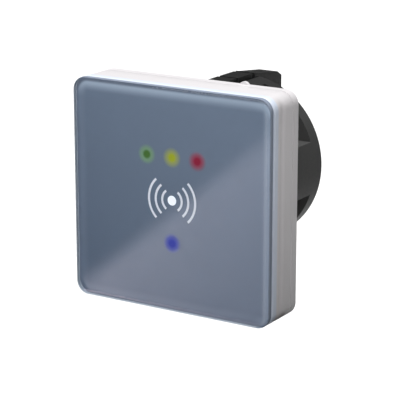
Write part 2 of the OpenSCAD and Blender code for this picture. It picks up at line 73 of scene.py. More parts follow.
# %% Camera
VIEW_AZIMUTH = math.radians(33.09)
VIEW_ELEVATION = math.radians(15.28)
CAMERA_DISTANCE = 0.600
FOCAL_PIXELS = 1741.0
IMAGE_PIXELS = 400.0
GLASS_LEFT_OF_CENTRE = 32.72
GLASS_BELOW_CENTRE = 1.69
SENSOR_WIDTH = 36.0

glass_centre, glass_low, glass_high = node_box("front_glass")
glass_centre[1] = glass_low[1]
towards_camera = np.array([
    math.sin(VIEW_AZIMUTH) * math.cos(VIEW_ELEVATION),
    -math.cos(VIEW_AZIMUTH) * math.cos(VIEW_ELEVATION),
    math.sin(VIEW_ELEVATION),
])
camera_right = np.array([math.cos(VIEW_AZIMUTH), math.sin(VIEW_AZIMUTH), 0.0])
camera_up = np.cross(camera_right, -towards_camera)
camera_place = glass_centre + CAMERA_DISTANCE * towards_camera
pixel = CAMERA_DISTANCE / FOCAL_PIXELS
aim = glass_centre + pixel * (GLASS_LEFT_OF_CENTRE * camera_right + GLASS_BELOW_CENTRE * camera_up)

lens = bpy.data.cameras.new("reader_camera")
lens.sensor_width = SENSOR_WIDTH
lens.lens = FOCAL_PIXELS / IMAGE_PIXELS * SENSOR_WIDTH
camera = bpy.data.objects.new("reader_camera", lens)
camera.location = camera_place
camera.rotation_euler = Vector(aim - camera_place).to_track_quat("-Z", "Y").to_euler()
bpy.context.scene.collection.objects.link(camera)
bpy.context.scene.camera = camera
print("camera at", np.round(camera_place, 3), "lens", round(lens.lens, 1), "mm")

# %% [markdown]
# A small class makes shader maths readable. It wraps one socket, and an expression such as
# 1 - mask * 0.5 then adds the Math nodes by itself. Every other node comes from one method, which
# sets the node's settings first and then fills its sockets with numbers or links.

# %% Shader wires
NOISE_MIDDLE = 0.5


class Wire:
    """One output socket of a node tree, with the arithmetic that the finishes use."""

    def __init__(self, tree, socket):
        self.tree = tree
        self.socket = socket

    def node(self, kind, sockets=None, output=0, **settings):
        """Adds a node: its settings first, then its sockets; gives one output back."""
        made = self.tree.nodes.new(kind)
        for setting, value in settings.items():
            setattr(made, setting, value)
        for key, value in (sockets or {}).items():
            plug(self.tree, made.inputs[key], value)
        return Wire(self.tree, made.outputs[output])

    def maths(self, operation, *values):
        return self.node("ShaderNodeMath", dict(enumerate(values)), operation=operation)

    def __add__(self, other):
        return self.maths("ADD", self, other)

    def __sub__(self, other):
        return self.maths("SUBTRACT", self, other)

    def __rsub__(self, other):
        return self.maths("SUBTRACT", other, self)

    def __mul__(self, other):
        return self.maths("MULTIPLY", self, other)

    def __truediv__(self, other):
        return self.maths("DIVIDE", self, other)

    def __abs__(self):
        return self.maths("ABSOLUTE", self)

    __radd__ = __add__
    __rmul__ = __mul__

    def above(self, other):
        return self.maths("MAXIMUM", self, other)

    def below(self, other):
        return self.maths("MINIMUM", self, other)

    def root(self):
        return self.maths("SQRT", self)

    def fraction(self):
        return self.maths("FRACT", self)

    def fade(self, start, end):
        """1 where the value is at start, 0 at end, and a smooth step between them."""
        return self.node("ShaderNodeMapRange", {"Value": self, "From Min": start, "From Max": end,
                         "To Min": 1.0, "To Max": 0.0}, interpolation_type="SMOOTHSTEP")

    def axes(self):
        parts = self.tree.nodes.new("ShaderNodeSeparateXYZ")
        self.tree.links.new(self.socket, parts.inputs[0])
        return [Wire(self.tree, output) for output in parts.outputs]

    def mix(self, colour_a, colour_b):
        """colour_a where this mask is 0 and colour_b where it is 1."""
        return self.node("ShaderNodeMix", {0: self, 6: colour_a, 7: colour_b}, output=2,
                         data_type="RGBA")

    def noise(self, per_metre, detail=3.0):
        return self.node("ShaderNodeTexNoise", {"Vector": self, "Scale": per_metre, "Detail": detail})

    def along(self, start, step):
        """How far this place lies along a step: 0 at the start, 1 at the step's end."""
        offset = self.node("ShaderNodeVectorMath", {0: self, 1: start}, operation="SUBTRACT")
        return self.node("ShaderNodeVectorMath", {0: offset, 1: step / (step @ step)}, output="Value",
                         operation="DOT_PRODUCT")

    def swing(self, middle, spread):
        """A noise from 0 to 1, turned into a value that swings about a middle."""
        return middle + spread * (self - NOISE_MIDDLE)

    def bump(self, distance, strength):
        """A Normal from this height, where a height of 1 stands `distance` metres proud."""
        return self.node("ShaderNodeBump", {"Height": self, "Distance": distance, "Strength": strength})


def plug(tree, socket, value):
    """Links a wire into the socket, or sets a plain value on it."""
    if isinstance(value, Wire):
        tree.links.new(value.socket, socket)
    else:
        socket.default_value = value


def new_material(name):
    """A material with nodes, listed by its name, and the wire of the object's own coordinates."""
    material = bpy.data.materials.new(name)
    material.use_nodes = True
    finishes[name] = material
    tree = material.node_tree
    return material, Wire(tree, tree.nodes.new("ShaderNodeTexCoord").outputs["Object"])


def finish(name, recipe, **constants):
    """A Principled material: constants straight on its sockets, then what the recipe gives."""
    material, place = new_material(name)
    shader = place.tree.nodes["Principled BSDF"]
    for key, value in constants.items():
        shader.inputs[key.replace("_", " ")].default_value = value
    for key, value in recipe(place).items():
        plug(place.tree, shader.inputs[key], value)
    return material


def grey(level):
    return (level, level, level, 1.0)


finishes = {}
print("shader wires ready")

# %% [markdown]
# The studio is a pale floor far below the reader, a broad overhead light and a dim sky. An overhead
# area lamp would do too, but a wide soft sun lights a floor of any size evenly, so the paper stays
# white right to the edge of the picture. Above the floor's far edge the sky is white to the eye, like
# a paper backdrop, but dim as a light.

# %% Stage and lights
FLOOR_DROP = 0.40
FLOOR_HALF = 6.0
SUN_STRENGTH = 4.1
SUN_SPREAD = math.radians(75.0)
SUN_TILT = (math.radians(10.0), math.radians(4.0), 0.0)
SKY_LEVEL = 0.05
BACKDROP_LEVEL = 1.0
PAPER_SCALE = 3.0
PAPER_LEVEL = 0.93
PAPER_BRIGHT = 0.95
PAPER_ROUGH = 0.9


def matt(name, recipe, rough, **constants):
    """A finish without a highlight."""
    return finish(name, recipe, Roughness=rough, Specular_IOR_Level=0.0, **constants)


def flat_card(name, centre, side_u, side_v, material):
    """A rectangle: centre + u * side_u + v * side_v, with u and v from -1 to 1."""
    u = np.array([-1.0, 1.0, 1.0, -1.0])[:, None]
    v = np.array([-1.0, -1.0, 1.0, 1.0])[:, None]
    mesh = bpy.data.meshes.new(name)
    mesh.from_pydata((centre + u * side_u + v * side_v).tolist(), [], [[0, 1, 2, 3]])
    mesh.materials.append(material)
    card = bpy.data.objects.new(name, mesh)
    bpy.context.scene.collection.objects.link(card)
    return card


def floor_recipe(place):
    """White paper, a shade brighter in broad patches."""
    return {"Base Color": place.noise(PAPER_SCALE).mix(grey(PAPER_LEVEL), grey(PAPER_BRIGHT))}


flat_card("studio_floor", -FLOOR_DROP * Z_AXIS, FLOOR_HALF * X_AXIS, FLOOR_HALF * Y_AXIS,
          matt("studio_paper", floor_recipe, PAPER_ROUGH))

sun = bpy.data.lights.new("overhead_softbox", "SUN")
sun.energy = SUN_STRENGTH
sun.angle = SUN_SPREAD
sun_object = bpy.data.objects.new("overhead_softbox", sun)
sun_object.rotation_euler = SUN_TILT
bpy.context.scene.collection.objects.link(sun_object)

sky = bpy.data.worlds.new("studio_sky")
sky.use_nodes = True
seen = Wire(sky.node_tree, sky.node_tree.nodes.new("ShaderNodeLightPath").outputs["Is Camera Ray"])
plug(sky.node_tree, sky.node_tree.nodes["Background"].inputs["Color"],
     seen.mix(grey(SKY_LEVEL), grey(BACKDROP_LEVEL)))
bpy.context.scene.world = sky
bpy.context.scene.view_settings.view_transform = "Standard"
print("stage: floor", -FLOOR_DROP, "m, overhead light", SUN_STRENGTH)

# %% [markdown]
# Two flags and a card finish the light. A dark flag to the right keeps the floor's glow off that side,
# as a photographer would. A narrow black strip close under the lower right edge does the same there,
# so that edge ends in a crisp dark line against the white paper. The card to the front left is seen
# only as a reflection: one half is black and the other bright, so the panel shows a diagonal sheen.
# Where the two halves meet is found by looking through the panel as if it were a window, from the
# camera's mirror image, so the sheen crosses it where it should.

# %% Flags and reflection card
FLAG_CENTRE = np.array([0.125, 0.08, -0.115])
FLAG_HALF_DEPTH = 0.20
FLAG_HALF_HEIGHT = 0.225
FLAG_LEVEL = 0.15
STRIP_CENTRE = np.array([0.043, -0.008, -0.0495])
STRIP_HALF_WIDTH = 0.010
STRIP_HALF_DEPTH = 0.014
STRIP_LEVEL = 0.02
CLOTH_SCALE = 4.0
CLOTH_WORN = 0.8
CLOTH_ROUGH = 0.95
PANE_HALF = 40.0 * MM
SHEEN_FROM = np.array([-33.5, -33.0]) * MM
SHEEN_TO = np.array([38.8, 27.0]) * MM
SHEEN_FAR = np.array([PANE_HALF, -PANE_HALF])
SHADE_FAR = np.array([-PANE_HALF, PANE_HALF])
SHEEN_OVERRUN = 0.35
CARD_DISTANCE = 0.32
CARD_SPARE = 1.25
CARD_STRENGTH = 3.45
CARD_DARK = 0.055
CARD_FALL = 0.42
CARD_FADE = 0.66
CARD_SOFT = 0.14
CARD_TINT = (1.07, 0.885, 1.02, 1)

mirror_centre = np.array([glass_centre[0], glass_high[1], glass_centre[2]])


def cloth(name, level):
    """Dark cloth, a little uneven."""
    def recipe(place):
        return {"Base Color": place.noise(CLOTH_SCALE).mix(grey(level), grey(CLOTH_WORN * level))}
    return matt(name, recipe, CLOTH_ROUGH)


def through_pane(spot):
    """Where the ray from the mirrored camera through this spot of the pane meets the card's plane."""
    mirrored = camera_place * np.array([1.0, -1.0, 1.0]) + np.array([0.0, 2 * mirror_centre[1], 0.0])
    straight = (mirror_centre - mirrored) / CAMERA_DISTANCE
    ray = mirror_centre + np.array([spot[0], 0.0, spot[1]]) - mirrored
    return mirrored + ray * (CAMERA_DISTANCE + CARD_DISTANCE) / (ray @ straight)


side_flag = flat_card("side_flag", FLAG_CENTRE, FLAG_HALF_DEPTH * Y_AXIS, FLAG_HALF_HEIGHT * Z_AXIS,
                      cloth("flag_cloth", FLAG_LEVEL))
edge_strip = flat_card("edge_strip", STRIP_CENTRE, STRIP_HALF_WIDTH * X_AXIS, STRIP_HALF_DEPTH * Y_AXIS,
                       cloth("strip_cloth", STRIP_LEVEL))

overrun = SHEEN_OVERRUN * (SHEEN_TO - SHEEN_FROM)
card_start = through_pane(SHEEN_FROM - overrun)
card_end = through_pane(SHEEN_TO + overrun)
along_edge = (card_end - card_start) / np.linalg.norm(card_end - card_start)


def off_edge(spot):
    """The step across the card from the line where its halves meet to the place seen at this spot."""
    step = through_pane(spot) - card_start
    return CARD_SPARE * (step - along_edge * (step @ along_edge))


bright_side = off_edge(SHEEN_FAR)
dark_side = off_edge(SHADE_FAR)
pane_left = through_pane(np.array([-PANE_HALF, 0.0]))
pane_across = through_pane(np.array([PANE_HALF, 0.0])) - pane_left
pane_up = through_pane(np.array([-PANE_HALF, PANE_HALF])) - pane_left
pane_across = pane_across - pane_up * (pane_across @ pane_up) / (pane_up @ pane_up)


def card_recipe(place):
    """Black, then bright past the line, and dimmer towards the part that the pane's right side shows."""
    share = place.along(card_start, bright_side)
    rise = 1 - share.fade(-CARD_SOFT / 2, CARD_SOFT / 2)
    glow = (1 - CARD_FALL * place.along(pane_left, pane_across)) * (1 - CARD_FADE * share)
    level = CARD_DARK + (1 - CARD_DARK) * rise * glow
    return {"Emission Color": level.mix(grey(0.0), CARD_TINT)}


card_glow = matt("card_glow", card_recipe, rough=1.0, Base_Color=grey(0.0), Emission_Strength=CARD_STRENGTH)
reflection_card = flat_card("reflection_card", (card_start + card_end + bright_side + dark_side) / 2,
                            (card_end - card_start) / 2, (bright_side - dark_side) / 2, card_glow)
side_flag.visible_camera = False
edge_strip.visible_camera = False
edge_strip.visible_shadow = False
reflection_card.visible_camera = False
reflection_card.visible_diffuse = False
reflection_card.visible_shadow = False
print("card halves:", np.round([np.linalg.norm(dark_side), np.linalg.norm(bright_side)], 3), "m")

# %% [markdown]
# Every new piece is a grid of points from a formula, made into faces by index arithmetic. Its rows are
# closed loops: one helper lays quads between them, and closes both ends with flat caps. The edges
# sharper than a set angle stay crisp and all the others are shaded smooth. Round things share one
# formula: a profile of radius and depth, carried once round an axis.

# %% Grids into pieces
SHARP_ANGLE = math.radians(32.0)
WELD = 1e-7
ROUND_STEPS = 48


def grid_faces(rows, columns):
    """Quads from (row, column) to (row + 1, column + 1); the last column joins the first."""
    row = np.arange(rows - 1)[:, None] * columns
    column = np.arange(columns)[None, :]
    following = (column + 1) % columns
    corners = [row + column, row + following, row + columns + following, row + columns + column]
    return np.stack(np.broadcast_arrays(*corners), -1).reshape(-1, 4)


def full_turn(steps):
    """Angles of one turn, as columns; the last stops short of the first."""
    return np.linspace(0, 2 * np.pi, steps, endpoint=False)[None, :]


def around(centre_x, centre_z, radius, depth, angle):
    """Points with (x, z) = centre + radius * (cos, sin) of the angle, and y = depth."""
    x = centre_x + radius * np.cos(angle)
    z = centre_z + radius * np.sin(angle)
    return np.stack(np.broadcast_arrays(x, depth, z), -1)


def turned(profile, centre_x, centre_z, steps=ROUND_STEPS):
    """Row i is a circle of radius profile[i][0] at y = profile[i][1], round (centre_x, centre_z)."""
    radius, depth = (column[:, None] for column in np.asarray(profile, float).T)
    return around(centre_x, centre_z, radius, depth, full_turn(steps))


def tidy(mesh):
    """Welds doubled points, turns the faces outwards and marks the sharp edges."""
    edit = bmesh.new()
    edit.from_mesh(mesh)
    bmesh.ops.remove_doubles(edit, verts=edit.verts, dist=WELD)
    bmesh.ops.dissolve_degenerate(edit, edges=edit.edges, dist=WELD)
    bmesh.ops.recalc_face_normals(edit, faces=edit.faces)
    edit.to_mesh(mesh)
    edit.free()
    mesh.shade_smooth()
    mesh.set_sharp_from_angle(angle=SHARP_ANGLE)


def place_piece(name, mesh, body, material, stands_for=()):
    """Links the mesh at the origin, dresses it, rides it on a body and hides the frame's nodes it stands
    for.
    """
    mesh.materials.clear()
    mesh.materials.append(material)
    piece = bpy.data.objects.new(name, mesh)
    bpy.context.scene.collection.objects.link(piece)
    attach(piece, body)
    if stands_for:
        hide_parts(*stands_for)
    print(name, len(mesh.vertices), "points on", body)
    return piece


def mesh_from(name, grids):
    """One mesh from grids, each an array of rows x columns x 3, capped at its first and last row."""
    points = []
    faces = []
    start = 0
    for grid in grids:
        rows, columns = grid.shape[:2]
        first_row = np.arange(columns) + start
        faces += (grid_faces(rows, columns) + start).tolist()
        faces.append(first_row.tolist())
        faces.append((first_row + (rows - 1) * columns).tolist())
        points.append(grid.reshape(-1, 3))
        start += rows * columns
    mesh = bpy.data.meshes.new(name)
    mesh.from_pydata(np.concatenate(points).tolist(), [], faces)
    tidy(mesh)
    return mesh


def piece_from(name, grids, body, material, stands_for=()):
    return place_piece(name, mesh_from(name, grids), body, material, stands_for)


print("grid helpers ready")

# %% [markdown]
# The white housing is moulded plastic with a fine spark-eroded skin. A plain white would look like
# paper, so the colour drifts a little, the gloss is patchy at two scales, and a bump of very fine
# noise breaks up the highlight as the eroded mould does.

# %% Moulded plastics
DRIFT_SCALE = 60.0
PATCH_SCALE = 900.0
GRAIN_STRENGTH = 0.6
DULL = 0.2


def moulded(colour, drifts_to, rough, rough_spread, grain, grain_depth):
    """A recipe: colour drift over centimetres, gloss patches over millimetres, fine grain as bump."""
    def recipe(place):
        drift = place.noise(DRIFT_SCALE, detail=2.0)
        patch = place.noise(PATCH_SCALE, detail=4.0)
        skin = place.noise(grain, detail=2.0)
        return {
            "Base Color": drift.mix(colour, drifts_to),
            "Roughness": patch.swing(rough, rough_spread),
            "Normal": skin.bump(grain_depth, GRAIN_STRENGTH),
        }
    return recipe


_, shell_low, shell_high = node_box("front_shell")
shell_front = shell_low[1]
shell_rear = shell_high[1]
# Painted highlight: the shell's first millimetres behind the glass are painted a bluish, brighter white.
PAINTED_COOL_SHEEN = (0.775, 0.845, 0.975, 1)
COOL_FROM = 2.2 * MM
COOL_TO = 3.2 * MM


def white_recipe(place):
    """The moulded skin, with a painted bluish sheen in the first millimetres behind the glass."""
    skin = moulded(colour=(0.835, 0.81, 0.825, 1), drifts_to=(0.81, 0.785, 0.80, 1), rough=0.42,
                   rough_spread=0.18, grain=3200.0, grain_depth=0.03 * MM)(place)
    behind = place.axes()[1] - shell_front
    skin["Base Color"] = behind.fade(COOL_FROM, COOL_TO).mix(skin["Base Color"], PAINTED_COOL_SHEEN)
    return skin


# Painted shade: the can is painted darker towards its top, against the overhead light.
CAN_TOP_PAINTED_SHADE = grey(0.030)
CAN_TOP_FROM = 18.0 * MM
CAN_TOP_TO = 28.0 * MM


def can_recipe(place):
    """The moulded skin, with a painted shade that darkens the can towards its top."""
    skin = moulded(colour=grey(0.062), drifts_to=(0.073, 0.073, 0.072, 1), rough=0.50,
                   rough_spread=0.25, grain=2200.0, grain_depth=0.06 * MM)(place)
    below_top = place.axes()[2].fade(CAN_TOP_FROM, CAN_TOP_TO)
    skin["Base Color"] = below_top.mix(CAN_TOP_PAINTED_SHADE, skin["Base Color"])
    return skin


white_plastic = finish("white_plastic", white_recipe)
black_plastic = finish("black_plastic", can_recipe, Specular_IOR_Level=DULL)
claw_plastic = finish(
    "claw_plastic", moulded(colour=grey(0.016), drifts_to=grey(0.026), rough=0.44, rough_spread=0.30,
                            grain=1500.0, grain_depth=0.08 * MM), Specular_IOR_Level=DULL)
rubber = finish(
    "grommet_rubber", moulded(colour=(0.018, 0.018, 0.019, 1), drifts_to=grey(0.028), rough=0.72,
                              rough_spread=0.20, grain=1200.0, grain_depth=0.08 * MM))
foam_bond = finish(
    "foam_bond", moulded(colour=(0.128, 0.140, 0.162, 1), drifts_to=(0.148, 0.160, 0.182, 1),
                         rough=0.85, rough_spread=0.10, grain=2600.0, grain_depth=0.1 * MM))
terminal_plastic = finish(
    "terminal_plastic", moulded(colour=(0.055, 0.30, 0.085, 1), drifts_to=(0.045, 0.25, 0.07, 1),
                                rough=0.48, rough_spread=0.20, grain=2400.0, grain_depth=0.04 * MM))
print("plastics:", len(finishes))

# %% [markdown]
# The panel is float glass with a ground round edge. Real refraction would need many light paths for
# a sheet this thin, so the pane is a clear layer that only adds its Fresnel reflection, and the
# print lies behind it at the pane's real depth. Towards the ground edge, where a real pane bends the
# view into its own tint, the clear layer turns into that tint. The flat face is bloomed, so it throws
# nothing back; only the ground edge and a strip at the foot, where the pane was held while it was
# bloomed, are bare. The front loop is repeated a hair inside the round edge, so that the big flat
# face keeps an exactly flat normal.

# %% Glass pane
PLATE_CORNER = 5.0 * MM
GLASS_EDGE = 1.8 * MM
CORNER_STEPS = 12
EDGE_STEPS = 9
HOLD = 0.06 * MM
PRINT_DEPTH = 0.12 * MM
REAR_CHAMFER = 0.15 * MM
GLASS_GLOSS = 0.03
GLASS_BEND = 1.5
EDGE_GLOSS = 0.3
CLEAR_TINT = (0.95, 0.98, 0.975, 1)
GROUND_EDGE = (0.290, 0.335, 0.420, 1)
RIM_DENSE = 0.04 * MM
RIM_CLEAR = 0.24 * MM
BLOOM_FROM = 1.9 * MM
BLOOM_TO = 1.5 * MM
FOOT_FROM = 2.1 * MM
FOOT_TO = 2.5 * MM
TOP_FROM = 0.90
TOP_TO = 0.96

half_width = (glass_high[0] - glass_low[0]) / 2
half_height = (glass_high[2] - glass_low[2]) / 2
plate_z = glass_centre[2]
glass_front = glass_low[1]
glass_rear = glass_high[1]


def plate_loops(insets, depths, half_w=half_width, half_h=half_height, corner=PLATE_CORNER,
                rise=plate_z):
    """Rounded-rectangle loops: row i is the outline moved in by insets[i] at y = depths[i]. A corner is
    its centre plus (corner - inset) times (cos, sin) of an angle that runs a quarter turn."""
    inset = np.asarray(insets, float)[:, None]
    depth = np.asarray(depths, float)[:, None]
    quarter = np.repeat(np.arange(4), CORNER_STEPS)
    angle = np.radians(90.0) * (quarter + np.tile(np.linspace(0, 1, CORNER_STEPS), 4))
    side_x = np.where((quarter == 0) | (quarter == 3), 1.0, -1.0)
    side_z = np.where(quarter < 2, 1.0, -1.0)
    radius = np.maximum(corner - inset, HOLD)
    x = side_x * (half_w - inset - radius) + radius * np.cos(angle)
    z = side_z * (half_h - inset - radius) + radius * np.sin(angle) + rise
    return np.stack([x, np.broadcast_to(depth, x.shape), z], -1)


def round_edge(radius, steps=EDGE_STEPS):
    """A quarter circle from the flat face to the side wall, as inset and depth from the outer corner."""
    turn = np.linspace(0, np.radians(90.0), steps)
    return radius * (1 - np.sin(turn)), radius * (1 - np.cos(turn))


def edge_distance(place, top_inset=0.0):
    """Distance in from the outline of a rounded rectangle: corner radius minus the length of how far
    the point lies beyond the corner's centre, or plain distance to the nearest side elsewhere."""
    x, _, z = place.axes()
    beyond_x = abs(x) - (half_width - PLATE_CORNER)
    beyond_z = abs(z - (plate_z - top_inset / 2)) - (half_height - top_inset / 2 - PLATE_CORNER)
    outside_x = beyond_x.above(0.0)
    outside_z = beyond_z.above(0.0)
    outside = (outside_x * outside_x + outside_z * outside_z).root()
    inside = beyond_x.above(beyond_z).below(0.0)
    return PLATE_CORNER - (outside + inside)


def glass_shader(name):
    """Clear where light goes straight through, glossy by Fresnel where the bare edge throws it back."""
    material, place = new_material(name)
    tree = place.tree
    tree.nodes.remove(tree.nodes["Principled BSDF"])
    gloss = place.node("ShaderNodeBsdfGlossy", {"Color": grey(1.0), "Roughness": GLASS_GLOSS})
    clear = place.node("ShaderNodeBsdfTransparent", {"Color": CLEAR_TINT})
    ground = place.node("ShaderNodeBsdfDiffuse", {"Color": GROUND_EDGE})
    inward = edge_distance(place)
    rim = inward.fade(RIM_DENSE, RIM_CLEAR)
    body = place.node("ShaderNodeMixShader", {0: rim, 1: clear, 2: ground})
    front = 1 - place.node("ShaderNodeNewGeometry", output="Backfacing")
    height = place.axes()[2] - plate_z
    foot = (height + half_height).fade(FOOT_FROM, FOOT_TO)
    bare = foot.above(1 - inward.fade(BLOOM_FROM, BLOOM_TO))
    at_top = 1 - (height / half_height).fade(TOP_FROM, TOP_TO)
    polish = 1 - (1 - EDGE_GLOSS) * at_top
    mirror = place.node("ShaderNodeFresnel", {"IOR": GLASS_BEND}) * front * polish * bare
    mixed = place.node("ShaderNodeMixShader", {0: mirror, 1: body, 2: gloss})
    tree.links.new(mixed.socket, tree.nodes["Material Output"].inputs["Surface"])
    return material


edge_in, edge_back = round_edge(GLASS_EDGE)
pane_in = np.concatenate([[GLASS_EDGE + HOLD], edge_in, [0.0, REAR_CHAMFER, REAR_CHAMFER + HOLD]])
pane_back = np.concatenate([[0.0], edge_back, np.full(3, glass_rear - glass_front - PRINT_DEPTH)])
pane_back[-3] -= REAR_CHAMFER
pane_loops = plate_loops(pane_in, glass_front + pane_back)
pane = piece_from("glass_pane", [pane_loops], "front_unit",
                  glass_shader("clear_glass"), ["front_glass"])
pane.visible_shadow = False

# %% [markdown]
# The colour is printed on the back of the glass: a blue-grey ink. Over it lie painted light and shade:
# the ink is painted lighter upwards and to the right, a painted glow just inside the ground edge stands
# in for the light that the edge lets in, and a painted shade darkens the edge itself at the top and the
# left. Each signal window is a soft coloured spot in the ink. The distance to the pane's outline is a
# formula of the object's own coordinates, so the painted glow follows the corners. It is strongest at
# the top, where such a pane takes in the light of the ceiling. What mirrors the room is the lacquer
# over the ink, made as the shader's coat. The signal windows are left open in it, so no sheen lies
# over their colours.

# %% Printed ink
INK_INSET = 0.06 * MM
INK_THICK = 0.05 * MM
INK_BASE = (0.096, 0.126, 0.198, 1)
# Painted light: the second tone that the ink is painted lighter towards, upwards and to the right.
INK_TOP_PAINTED_LIGHT = (0.173, 0.211, 0.306, 1)
# Painted glow: the lighter frame just inside the ground edge, for the light that the edge lets in.
INK_PAINTED_GLOW = (0.400, 0.455, 0.590, 1)
# Painted shade: the darker band on the ground edge itself, at the top and the left.
INK_PAINTED_SHADE = (0.148, 0.170, 0.242, 1)
FRAME_DROP = 0.9 * MM
EDGE_DARK_FROM = 0.3 * MM
EDGE_DARK_TO = 1.4 * MM
GLOW_FROM = 1.4 * MM
GLOW_TO = 4.9 * MM
GLOW_LEAST = 0.14
GLOW_TOP = 0.86
GLOW_RIGHT = 0.27
GLOW_SLOPE = 0.12
EDGE_LEFT = 0.5
FRAME_FROM = 0.80
FRAME_TO = 0.96
INK_MIDDLE = 0.50
INK_RISE = 0.50
INK_ACROSS = 0.20
INK_CLOUD = 0.08
CLOUD_SCALE = 90.0
INK_ROUGH = 0.5
INK_ROUGH_SPREAD = 0.15
LACQUER_FROM = 0.5 * MM
LACQUER_TO = 0.1 * MM
LIGHT_PITCH = 10.3 * MM
LIGHT_RISE = 15.0 * MM
BLUE_DROP = 0.7 * MM
CORE_FROM = 0.9 * MM
CORE_TO = 2.1 * MM
HALO_FROM = 1.8 * MM
HALO_TO = 4.0 * MM
lights = {
    "green": ((-LIGHT_PITCH, LIGHT_RISE), (0.060, 0.150, 0.026, 1), (0.190, 0.315, 0.200, 1)),
    "yellow": ((0.0, LIGHT_RISE), (0.390, 0.405, 0.014, 1), (0.310, 0.330, 0.125, 1)),
    "red": ((LIGHT_PITCH, LIGHT_RISE), (0.300, 0.004, 0.036, 1), (0.290, 0.060, 0.110, 1)),
    "blue": ((0.0, -LIGHT_RISE - BLUE_DROP), (0.045, 0.055, 0.425, 1), (0.100, 0.112, 0.460, 1)),
}


def spot_distance(place, spot):
    """Distance from a spot of the print, given as across and up from the pane's centre."""
    x, _, z = place.axes()
    across = x - spot[0]
    up = z - (plate_z + spot[1])
    return (across * across + up * up).root()


def ink_recipe(place):
    """A tone with painted light upwards and right, each light's halo and core, painted edge glow and shade.
    """
    x, _, z = place.axes()
    depth = edge_distance(place, FRAME_DROP)
    cloud = place.noise(CLOUD_SCALE)
    height = (z - plate_z) / half_height
    across = x / half_width
    # Painted light: the tone is made lighter upwards and to the right; only the cloud is a random tone of
    # the ink.
    lift = INK_MIDDLE + INK_RISE * height + INK_ACROSS * across + INK_CLOUD * (cloud - NOISE_MIDDLE)
    tone = lift.mix(INK_BASE, INK_TOP_PAINTED_LIGHT)
    lacquer = edge_distance(place).fade(LACQUER_FROM, LACQUER_TO)
    for spot, core, halo in lights.values():
        far = spot_distance(place, spot)
        lacquer = lacquer * (1 - far.fade(HALO_FROM, HALO_TO))
        tone = far.fade(HALO_FROM, HALO_TO).mix(tone, halo)
        tone = far.fade(CORE_FROM, CORE_TO).mix(tone, core)
    at_top = 1 - height.fade(FRAME_FROM, FRAME_TO)
    at_right = 1 - across.fade(FRAME_FROM, FRAME_TO)
    at_left = 1 - (-1 * across).fade(FRAME_FROM, FRAME_TO)
    down_right = at_right * (GLOW_RIGHT + GLOW_SLOPE * height)
    share = (GLOW_LEAST + GLOW_TOP * at_top + down_right).below(1.0)
    # Painted glow inside the ground edge, strongest at the top and weaker down the right.
    tone = (depth.fade(GLOW_FROM, GLOW_TO) * share).mix(tone, INK_PAINTED_GLOW)
    # Painted shade on the ground edge, full at the top and half at the left.
    dark = (at_top + EDGE_LEFT * at_left).below(1.0)
    tone = (depth.fade(EDGE_DARK_FROM, EDGE_DARK_TO) * dark).mix(tone, INK_PAINTED_SHADE)
    return {"Base Color": tone,
            "Roughness": cloud.swing(INK_ROUGH, INK_ROUGH_SPREAD),
            "Coat Weight": lacquer}


ink_back = glass_rear - INK_THICK
ink_loops = plate_loops([INK_INSET, INK_INSET], [ink_back, glass_rear])
piece_from("printed_ink", [ink_loops], "front_unit",
           finish("panel_ink", ink_recipe, Specular_IOR_Level=DULL, Coat_Roughness=GLASS_GLOSS,
                  Coat_IOR=GLASS_BEND))

# %% [markdown]
# The radio-wave sign is a dot with three bars to each side, in opaque white behind the glass. A
# picture could carry it, but bars of real thickness stay sharp at any distance. Each bar is one thin
# box bent round the dot: its four long edges run along arcs of two radii and two depths.

# %% Radio-wave sign
SIGN_STROKE = 0.85 * MM
SIGN_RADII = np.array([4.0, 6.7, 9.5]) * MM
SIGN_SPANS = np.radians([54.0, 49.5, 47.0])
SIGN_DROP = 0.25 * MM
DOT_RADIUS = 1.75 * MM
SIGN_STEPS = 40
SIGN_FRONT_GAP = 0.05 * MM
SIGN_BACK_GAP = 0.01 * MM
MOTTLE_SCALE = 700.0
WHITE_INK = (0.85, 0.82, 0.93, 1)
THIN_INK = (0.80, 0.77, 0.88, 1)
# Painted glow: the sign's dot is given a faint emission so that it looks brighter.
DOT_GLOW_SPREAD = 1.2
DOT_GLOW_STRENGTH = 0.30
sign_z = plate_z - SIGN_DROP
sign_front = ink_back - SIGN_FRONT_GAP
sign_back = ink_back - SIGN_BACK_GAP


def wave_bar(radius, span, side):
    """Row t, column k: (r cos a, r sin a) about the dot; a runs over the span, corner k sets r and depth."""
    angle = np.linspace(-span, span, SIGN_STEPS)[:, None]
    reach = radius + SIGN_STROKE / 2 * np.array([-1.0, 1.0, 1.0, -1.0])[None, :]
    depth = np.array([sign_front, sign_front, sign_back, sign_back])[None, :]
    return around(0.0, sign_z, reach, depth, angle) * [side, 1, 1]


def white_ink_recipe(place):
    """White ink, its dot made brighter by a painted glow."""
    mottle = place.noise(MOTTLE_SCALE)
    dot = spot_distance(place, (0.0, -SIGN_DROP)).fade(DOT_RADIUS, DOT_GLOW_SPREAD * DOT_RADIUS)
    return {"Base Color": mottle.mix(WHITE_INK, THIN_INK),
            "Roughness": mottle.swing(middle=0.45, spread=0.2),
            "Emission Color": dot.mix(grey(0.0), grey(1.0))}


bars = [wave_bar(radius, span, side)
        for radius, span in zip(SIGN_RADII, SIGN_SPANS) for side in (-1, 1)]
dot_profile = [[DOT_RADIUS, sign_front], [DOT_RADIUS, sign_back]]
bars.append(turned(dot_profile, 0.0, sign_z, SIGN_STEPS))
piece_from("wave_sign", bars, "front_unit",
           finish("white_ink", white_ink_recipe, Emission_Strength=DOT_GLOW_STRENGTH))

